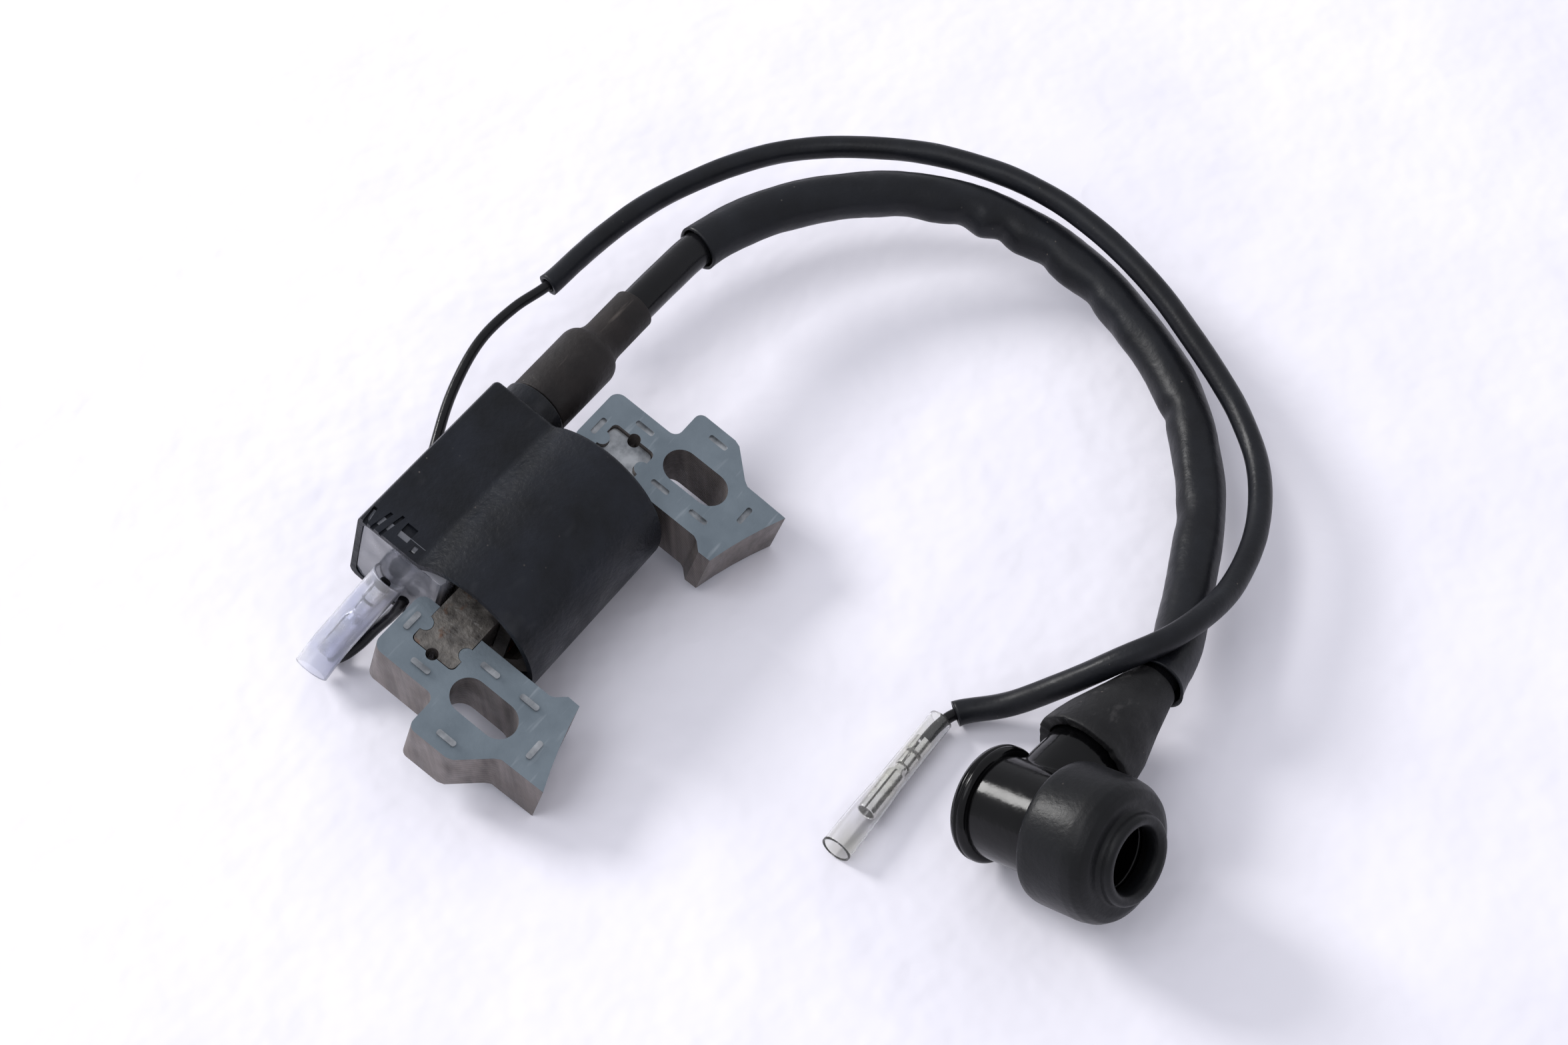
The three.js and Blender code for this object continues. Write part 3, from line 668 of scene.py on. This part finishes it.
# the cuts in the case's top by its open end: name, outline and the height of the cut's floor
NOTCHES = [
    ("notch_a", [(-19.8, 22.9), (-15.6, 23.6), (-15.6, 24.4), (-19.8, 23.9)], 9.4),
    ("notch_b", [(-19.8, 21.7), (-14.6, 20.9), (-14.6, 21.5), (-19.8, 22.5)], 9.6),
    ("notch_c", [(-19.8, 20), (-13.7, 19), (-13.7, 19.6), (-19.8, 20.6)], 9.7),
    ("notch_d", [(-17.2, 15.7), (-14.1, 15.7), (-14.1, 18), (-17.2, 18)], 9.5),
    ("notch_e", [(-18.2, 13.5), (-16.6, 13.5), (-16.6, 14.4), (-18.2, 14.4)], 9.7),
]
RESIN_DEPTH = 3


def case_outline(inset):
    """round chamber with the box beside it, in (y, z)"""
    radius = CASE_R - inset
    top = BOX_TOP - inset
    bottom = BOX_BOTTOM + inset
    side = BOX_SIDE - inset
    start = degrees_of(asin(top / radius))
    round_part = arc((0, 0), radius, start, 360 + degrees_of(asin(bottom / radius)), 72)
    box_part = [(side - 4, bottom), (side - 1.6, bottom + 0.15), (side - 0.7, bottom + 0.7),
                (side - 0.25, bottom + 1.6), (side + 0.3, top - 1.5), (side + 0.22, top - 0.75),
                (side - 0.1, top - 0.25), (side - 0.7, top)]
    return round_part + box_part


def degrees_of(angle):
    return angle * 180 / pi


def case_shell():
    shell = prism("case", case_outline(0), CASE_NEAR - 4, CASE_FAR, CASE, COIL_PLACE, "X")
    bevel(shell, 1.2, 4, 45)
    bake(shell)
    open_end = block("open_end", (CASE_NEAR - 6, -20, -20), (CASE_NEAR, 30, 20), CASE, COIL_PLACE)
    hollow = prism("hollow", case_outline(1.2), CASE_NEAR - 5, CASE_FAR - 1.5, CASE, COIL_PLACE, "X")
    bar_hole = prism("bar_hole", [(-BAR_HALF - 0.3, -STACK / 2 - 0.3), (BAR_HALF + 0.3, -STACK / 2 - 0.3),
                                  (BAR_HALF + 0.3, STACK / 2 + 0.3), (-BAR_HALF - 0.3, STACK / 2 + 0.3)],
                     CASE_FAR - 3, CASE_FAR + 2, CASE, COIL_PLACE, "X")
    pin_hole = turned("pin_hole", [(0, CASE_FAR - 3), (1.3, CASE_FAR - 3), (1.3, CASE_FAR + 3),
                                   (0, CASE_FAR + 3)], CASE, TOWER_PLACE, 24)
    notches = [prism(name, outline, depth, NOTCH_TOP, CASE, COIL_PLACE) for name, outline, depth in NOTCHES]
    carve(shell, "DIFFERENCE", open_end, hollow, bar_hole, pin_hole, *notches)
    collar = turned("collar", rounded([(0, 16.9), (6.4, 16.9), (6.4, 23.7), (5, 23.7), (5, 35.9), (3.8, 35.9),
                                       (3.8, 20.5), (0, 20.5)], 0.45), CASE, TOWER_PLACE, 72)
    foot = block("foot", (CASE_NEAR, 12.9, -15.8), (CASE_NEAR + 3, 14.3, BOX_BOTTOM + 0.4), CASE, COIL_PLACE)
    bevel(foot, 0.3, 2)
    bake(foot)
    carve(shell, "UNION", collar, foot)
    shade_by_angle(shell, 28)
    return settle(shell, COIL_BODY, "case_plastic", "coil_case")


def potting():
    """resin mirror that creeps up the walls; its depth flares into them, out of sight but for the notches"""
    low_y, high_y = 6.5, 23.7
    low_z, high_z = BOX_BOTTOM + 1.1, BOX_TOP - 1.1
    columns, rows = 60, 72
    vertices, faces = [], []
    for row in range(rows + 1):
        for column in range(columns + 1):
            y = low_y + (high_y - low_y) * column / columns
            z = low_z + (high_z - low_z) * row / rows
            edge = min(y - low_y, high_y - y, z - low_z, high_z - z)
            rise = 0.25 * exp(-max(edge, 0) / 0.5)
            wave = 0.35 * noise.noise(Vector((y * 0.16, z * 0.16, 2.2)))
            vertices.append((CASE_NEAR + 0.4 - rise + wave * min(edge / 3, 1), y, z))
    across = columns + 1
    for row in range(rows):
        for column in range(columns):
            a = row * across + column
            faces.append((a, a + 1, a + 1 + across, a + across))
    face = piece("resin_face", vertices, faces, RESIN, COIL_PLACE)
    modifier(face, "SOLIDIFY", thickness=RESIN_DEPTH * MM, offset=-1)
    bake(face)
    return settle(face, COIL_BODY, "potting_resin", "potting_resin")


# ---- core ------------------------------------------------------------------------------
LOBE_X, LOBE_R = 24.6, 1.45
BAR_END = 28.4
PIN_HOLE = (28.35, 1.16)
SLOT = (30, -12.9, 3.46, 3.2)
POLE_R, POLE_Y = 90.3, -113.2
STAKES = [(26, 6.47, True), (31.45, 0, False), (24.06, -9.31, False),
          (24.07, -18.04, False), (38.54, -11.63, False), (30.2, -24.12, True)]


def leg_outline(gap=0.15):
    pocket, end = BAR_HALF + gap, BAR_END + gap
    points = [(20.65, pocket)]
    points += arc((22.65, 6.65), 2, 180, 90, 8) + arc((32, 6.65), 2, 90, 0, 8)
    points += arc((35.7, -3.65), 1.7, 180, 270, 8) + arc((39.7, -6.85), 1.5, 90, 0, 6)
    points += [(41.15, -13.7), (40.7, -14.95), (35.9, -19.9), (35.2, -21)]
    pole = [POLE_Y + sqrt(POLE_R ** 2 - x * x) for x in (35, 31, 27, 23, 18.7)]
    points += list(zip((35, 31, 27, 23, 18.7), pole))
    points += [(18.65, -22.3), (19.3, -21.6), (20.2, -20.7), (20.65, -19.8), (20.65, -pocket)]
    points += arc((LOBE_X, -pocket), LOBE_R, 180, 0, 12)
    points += arc((end - 1, -pocket + 1), 1, -90, 0, 6) + arc((end - 1, pocket - 1), 1, 0, 90, 6)
    points += arc((LOBE_X, pocket), LOBE_R, 0, -180, 12)
    return points


def slot_outline():
    x, y, radius, run = SLOT
    return arc((x, y + run), radius, 0, 180, 20) + arc((x, y - run), radius, 180, 360, 20)


def stake_outline(x, y, half_x, half_y, corner=0.45):
    points = []
    for turn, (along, across) in enumerate(((1, 1), (-1, 1), (-1, -1), (1, -1))):
        centre = (x + along * (half_x - corner), y + across * (half_y - corner))
        points += arc(centre, corner, turn * 90, turn * 90 + 90, 4)
    return points


def pole_leg(name, node, side):
    """one leg, with its slot, rivet hole and stakes; side -1 is the near one"""
    leg = prism(name, leg_outline(), -STACK / 2, STACK / 2, STEEL, COIL_PLACE,
                holes=[slot_outline(), arc((PIN_HOLE[0], 0), PIN_HOLE[1], 0, 360, 24)[:-1]])
    face = STACK / 2
    dents, bumps = [], []
    for x, y, along_x in STAKES:
        half_x, half_y = (1.97, 0.55) if along_x else (0.55, 1.97)
        outline = stake_outline(x, y, half_x, half_y)
        if side > 0:
            dents.append(prism("dent", outline, face - 0.5, face + 1, STEEL, COIL_PLACE))
        else:
            bumps.append(prism("bump", outline, face - 1, face + 0.45, STEEL, COIL_PLACE))
            dents.append(prism("dent", outline, -face - 1, -face + 0.5, STEEL, COIL_PLACE))
    carve(leg, "UNION", *bumps)
    carve(leg, "DIFFERENCE", *dents)
    if side < 0:
        for vertex in leg.data.vertices:
            vertex.co.x = -vertex.co.x
        leg.data.flip_normals()
    bevel(leg, 0.16, 2, 40)
    bake(leg)
    shade_by_angle(leg, 35)
    leg.data.materials.append(BRIGHT)
    for polygon in leg.data.polygons:
        corners = [leg.data.vertices[i].co / MM for i in polygon.vertices]
        for at_x, at_y, along_x in STAKES:
            reach_x, reach_y = (2.1, 0.7) if along_x else (0.7, 2.1)
            if all(c.z > face - 0.6 and abs(abs(c.x) - at_x) < reach_x and abs(c.y - at_y) < reach_y
                   for c in corners):
                polygon.material_index = 1
    return settle(leg, COIL_BODY, "core_steel", node)


def core_bar():
    """bar with its dovetail ends; the far one sits a little below the leg's face"""
    half = [(0, -BAR_HALF), (LOBE_X - LOBE_R - 0.05, -BAR_HALF)]
    half += arc((LOBE_X, -BAR_HALF - 0.1), LOBE_R + 0.05, 180, 0, 12)
    half += arc((BAR_END - 1, -BAR_HALF + 1), 1, -90, 0, 6) + arc((BAR_END - 1, BAR_HALF - 1), 1, 0, 90, 6)
    half += arc((LOBE_X, BAR_HALF + 0.1), LOBE_R + 0.05, 0, -180, 12) + [(0, BAR_HALF)]
    hole = arc((PIN_HOLE[0], 0), PIN_HOLE[1], 0, 360, 24)[:-1]
    far = prism("far_half", half, -STACK / 2, STACK / 2, STEEL, COIL_PLACE, holes=[hole])
    tongue = block("tongue", (19.8, -8, STACK / 2 - 1), (40, 8, 10), BRIGHT, COIL_PLACE)
    carve(far, "DIFFERENCE", tongue)
    near = prism("core", [(-x, y) for x, y in reversed(half)], -STACK / 2, STACK / 2, STEEL, COIL_PLACE,
                 holes=[[(-x, y) for x, y in reversed(hole)]])
    carve(near, "UNION", far)
    bevel(near, 0.16, 2, 40)
    bake(near)
    shade_by_angle(near, 35)
    near.data.materials.append(BRIGHT)
    near.data.materials.append(VARNISH)
    for polygon in near.data.polygons:
        x = polygon.center.x / MM
        if polygon.normal.z > 0.7 and x > 19.8:
            polygon.material_index = 1
        elif x < -16 and polygon.center.z > 0:
            polygon.material_index = 2
    return settle(near, COIL_BODY, "core_steel", "core_bar")


# ---- windings and board ----------------------------------------------------------------
def finish_node(node, material):
    """a CAD node whose shape is right gets a better material"""
    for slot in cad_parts[node].material_slots:
        slot.material = material


for node, material in (
        ("control_board", BOARD), ("power_transistor", CASE), ("primary_bobbin", BOBBIN),
        ("primary_winding", COPPER), ("secondary_bobbin", BOBBIN), ("secondary_winding", COPPER),
        ("ht_contact_pin", BRASS), ("cap_lead_screw", BRASS), ("cap_resistor", CERAMIC),
        ("cap_terminal_clip", BRASS), ("cap_contact_spring", BRIGHT)):
    finish_node(node, material)

case_shell()
potting()
pole_leg("near_leg", "near_pole_leg", -1)
pole_leg("far_leg", "far_pole_leg", 1)
core_bar()


# ---- high-tension outlet ---------------------------------------------------------------
def boot_skin(point, angle):
    """a hand-fitted rubber boot is never quite round"""
    swell = 0.12 * noise.noise(Vector((point.x * 0.22, cos(angle) * 1.2, sin(angle) * 1.2)))
    push = 1 + swell / 5
    return Vector((point.x, point.y * push, point.z * push))


boot_profile = rounded([
    (5.3, 23.9), (6.05, 23.9), (6.05, 39), (5.7, 40.2), (4.8, 41.2), (4.3, 42.6), (4.2, 44),
    (4.2, 53.1), (3.75, 53.1), (3.75, 36.6), (5.3, 36.6), (5.3, 23.9)], 0.5)
settle(turned("outlet_boot", boot_profile, BOOT, TOWER_PLACE, 72, boot_skin),
       COIL_BODY, "boot_rubber", "ht_boot")


# ---- receptacles and their clear sleeves -----------------------------------------------
def aim(start, towards):
    """a place at start with x along towards, in millimetres"""
    turn = Vector(towards).normalized().to_track_quat("X", "Z").to_matrix().to_4x4()
    return Matrix.Translation(Vector(start) * MM) @ turn


def receptacle(name, place, body, node):
    """rolled barrel with a seam, a waist and a crimp folded over the wire"""
    profile = rounded([(1.55, 0), (1.85, 0), (1.85, -8.9), (1.25, -10.2), (1.2, -10.9), (0.85, -10.9),
                       (0.95, -10), (1.55, -8.6), (1.55, 0)], 0.2)
    barrel = turned(name, profile, TIN, place, 48)
    slit = block("slit", (-9.4, -0.18, 0), (1, 0.18, 3), TIN, place)
    carve(barrel, "DIFFERENCE", slit)
    wings = []
    for low, high, radius in ((-13.6, -11.1, 1.55), (-17.4, -14.3, 1.72)):
        outline = arc((0, 0), radius, 100, 440, 30) + arc((0, 0), radius - 0.35, 440, 100, 30)
        wings.append(prism("wing", outline, low, high, TIN, place, "X"))
    strap = prism("strap", arc((0, 0), 1.5, 215, 325, 12) + arc((0, 0), 1.15, 325, 215, 12),
                  -15, -10, TIN, place, "X")
    carve(barrel, "UNION", strap, *wings)
    bevel(barrel, 0.07, 2, 40)
    bake(barrel)
    shade_by_angle(barrel, 35)
    return settle(barrel, body, "tinned_brass", node)


def strands(name, place, body):
    """bare tinned strands between the crimp's two grips"""
    bundle = []
    for i in range(7):
        angle = 2 * pi * i / 7
        path = [Vector((-10.4 - 4.2 * t / 8, 0.55 * cos(angle + t * 0.25), 0.55 * sin(angle + t * 0.25)))
                for t in range(9)]
        bundle.append(hose("strand", path, 0.2, 0, TIN, 8))
    first = bundle[0]
    built = bmesh.new()
    for strand in bundle:
        built.from_mesh(strand.data)
    built.to_mesh(first.data)
    built.free()
    for strand in bundle[1:]:
        bpy.data.objects.remove(strand)
    first.name = name
    first.matrix_world = place
    return settle(first, body, "tinned_brass")


OUTLET_PLACE = aim((-37.7, 24.7, 6.1), (-0.621, 0.362, -0.693))
receptacle("coil_terminal", OUTLET_PLACE, COIL_BODY, "stop_receptacle")
strands("coil_strands", OUTLET_PLACE, COIL_BODY)
stub_path = [Vector((-18.6 + 6 * i / 8, 0, 0)) for i in range(9)]
stub = hose("terminal_stub", stub_path, 1.05, 0, LEAD, 20)
stub.matrix_world = OUTLET_PLACE
settle(stub, COIL_BODY, "wire_insulation", "stop_terminal_stub")

WIRE_END_PLACE = aim((-9.4, -72.3, 2.95), (-10.6, 0.05, 0))
wire_terminal = receptacle("wire_terminal", WIRE_END_PLACE, COIL_BODY, "wire_receptacle")
wire_strands = strands("wire_strands", WIRE_END_PLACE, COIL_BODY)


def clear_wall(seed, flare):
    """soft vinyl: slight waves along it, an uneven cut mouth"""
    def shape(along, angle, radius):
        wave = noise.noise(Vector((along * 0.2, cos(angle) * 1.3 + seed, sin(angle) * 1.3)))
        return radius + 0.03 * wave + flare(along)
    return shape


outlet_sleeve_path = stretch(OUTLET_SLEEVE_ROUTE, 0.28, 4, 24)
outlet_sleeve = hose("outlet_sleeve", outlet_sleeve_path, 3.3, 2.9, MILKY, 48,
                     clear_wall(1.7, lambda along: 0))
settle(outlet_sleeve, COIL_BODY, "clear_vinyl", "stop_receptacle_sleeve")

end_sleeve_path = [Vector((-22.8 + 31.6 * i / 60, 0, 0)) for i in range(61)]
end_sleeve = hose("end_sleeve", end_sleeve_path, 2.25, 1.95, CLEAR, 44,
                  clear_wall(5.2, lambda along: 0.5 / (1 + exp(-(along - 19) / 2.4))))
end_sleeve.matrix_world = WIRE_END_PLACE
settle(end_sleeve, COIL_BODY, "clear_vinyl", "wire_receptacle_sleeve")


# ---- plug cap --------------------------------------------------------------------------
BARREL_PLACE = CAP_PLACE @ SWING_TO_BARREL
BARREL_BACK, BARREL_FRONT = 9.3, 18.4


def elbow():
    """moulded elbow: barrel, neck and the saddle between them"""
    body = turned("elbow", rounded([(0, -7), (9, -7), (9, BARREL_FRONT), (0, BARREL_FRONT)], 0.5), BAKELITE,
                  BARREL_PLACE, 72)
    neck = turned("neck", rounded([(0, 0), (7, 0), (7, 21.9), (0, 21.9)], 0.5), BAKELITE, CAP_PLACE, 64)
    saddle = turned("saddle", [(0, 2), (7.1, 2), (7.1, 9.5), (7.02, 12), (0, 12)], BAKELITE, CAP_PLACE, 64)
    carve(body, "UNION", neck, saddle)
    chamber = turned("chamber", [(0, -12), (6.3, -12), (6.3, 20), (0, 20)], BAKELITE, BARREL_PLACE, 64)
    bore = turned("bore", [(0, 0), (2.9, 0), (2.9, 14), (3.8, 14), (3.8, 24), (0, 24)],
                  BAKELITE, CAP_PLACE, 48)
    carve(body, "DIFFERENCE", chamber, bore)
    modifier(body, "REMESH", mode="VOXEL", voxel_size=0.28 * MM)
    modifier(body, "SMOOTH", factor=0.6, iterations=6)
    bake(body)
    for polygon in body.data.polygons:
        polygon.use_smooth = True
    body.data.materials.clear()
    body.data.materials.append(BAKELITE)
    return settle(body, CAP_BODY, "bakelite", "cap_elbow")


def rear_plug():
    back = -BARREL_BACK
    profile = rounded([
        (0, back), (7.4, back), (8.9, back + 0.2), (9.8, back + 0.8), (10.2, back + 1.5), (10.3, back + 2),
        (9.95, back + 2.25), (10.3, back + 2.5), (10.25, back + 3.1), (9.9, back + 3.6), (9.1, back + 3.9),
        (6, back + 3.9), (6, back + 4.6), (0, back + 4.6)], 0.35)
    cover = turned("rear_cover", profile, BAKELITE, BARREL_PLACE, 80)
    return settle(cover, CAP_BODY, "bakelite", "cap_rear_plug")


def plug_seal():
    profile = rounded([
        (9.25, 7.3), (11.6, 7.3), (12.2, 7.9), (12.4, 9), (12.4, 17), (12.1, 18.8), (11.3, 20.2), (10, 20.9),
        (8.7, 21), (8.2, 21.1), (7.9, 21.6), (7.85, 22.7), (7.4, 23.3), (6.5, 23.3), (5.9, 22.8), (5.6, 21.8),
        (5.7, 20.5), (6.6, 18.7), (9.25, 18.7), (9.25, 7.3)], 0.35, 4)

    def soft(point, angle):
        push = 1 + 0.008 * noise.noise(Vector((point.x * 0.2, cos(angle) * 1.5, sin(angle) * 1.5)))
        return Vector((point.x, point.y * push, point.z * push))
    seal = turned("seal", profile, SEAL, BARREL_PLACE, 80, soft)
    return settle(seal, CAP_BODY, "boot_rubber", "cap_plug_seal")


def lead_boot():
    """cone boot with a torn rim"""
    def torn(point, angle):
        if point.x < 16.4:
            tear = noise.noise(Vector((cos(angle) * 2.6, sin(angle) * 2.6, 5.5)))
            fray = noise.noise(Vector((cos(angle) * 8, sin(angle) * 8, 1.5)))
            shift = max(0, 0.9 * tear + 0.35 * fray) * (16.4 - point.x) / 1.5
            return Vector((point.x + shift, point.y, point.z))
        push = 1 + 0.012 * noise.noise(Vector((point.x * 0.25, cos(angle) * 1.6, sin(angle) * 1.6)))
        return Vector((point.x, point.y * push, point.z * push))
    profile = rounded([(7.3, 15.2), (9.3, 14.9), (9.45, 15.6), (9.1, 18), (8.4, 21.5), (6.4, 28), (4.75, 34),
                       (4.5, 35.4), (3.8, 35.4), (3.8, 27), (7.3, 23), (7.3, 15.2)], 0.3)
    boot = turned("lead_boot", profile, CONE, CAP_PLACE, 96, torn)
    return settle(boot, CAP_BODY, "boot_rubber", "cap_lead_boot")


cap_parts = [elbow(), rear_plug(), plug_seal(), lead_boot()]
cap_parts += [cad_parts[node] for node in (
    "cap_lead_screw", "cap_resistor", "cap_terminal_clip", "cap_contact_spring")]

length_of(lead_path)
length_of(wire_path)


# ---- floor and light -------------------------------------------------------------------
def paper():
    finish = Finish("paper", roughness=0.9)
    finish.colour(finish.mix(finish.noise(14, 4), linear(233, 231, 240), linear(240, 238, 246)))
    finish.relief(finish.noise(11, 5, 0.6), 0.0011)
    finish.relief(finish.noise(70, 3, 0.5), 0.00012)
    return finish.material


FLOOR_REACH = 2500
FLOOR_HEIGHT = -0.05
corners = [(x * FLOOR_REACH, y * FLOOR_REACH, FLOOR_HEIGHT) for x, y in ((-1, -1), (1, -1), (1, 1), (-1, 1))]
floor = piece("floor", corners, [(0, 1, 2, 3)], paper())


def area_light(name, towards, distance, size, power, colour):
    lamp = bpy.data.lights.new(name, "AREA")
    lamp.shape = "DISK"
    lamp.size = size
    lamp.energy = power
    lamp.color = colour
    direction = Vector(towards).normalized()
    made = bpy.data.objects.new(name, lamp)
    made.location = direction * distance + Vector((0.03, -0.03, 0))
    made.rotation_euler = direction.to_track_quat("Z", "Y").to_euler()
    bpy.context.collection.objects.link(made)


area_light("window", (-0.14, 1.5, 1), 2.2, 0.7, 30, (1, 0.99, 0.98))
area_light("sky_card", (-0.6, 0.3, 1.2), 1.8, 1.2, 6, (0.96, 0.97, 1))
world = bpy.data.worlds.new("studio")
world.use_nodes = True
world.node_tree.nodes["Background"].inputs["Color"].default_value = (0.93, 0.94, 1, 1)
world.node_tree.nodes["Background"].inputs["Strength"].default_value = 0.75
bpy.context.scene.world = world
bpy.context.scene.view_settings.view_transform = "Standard"
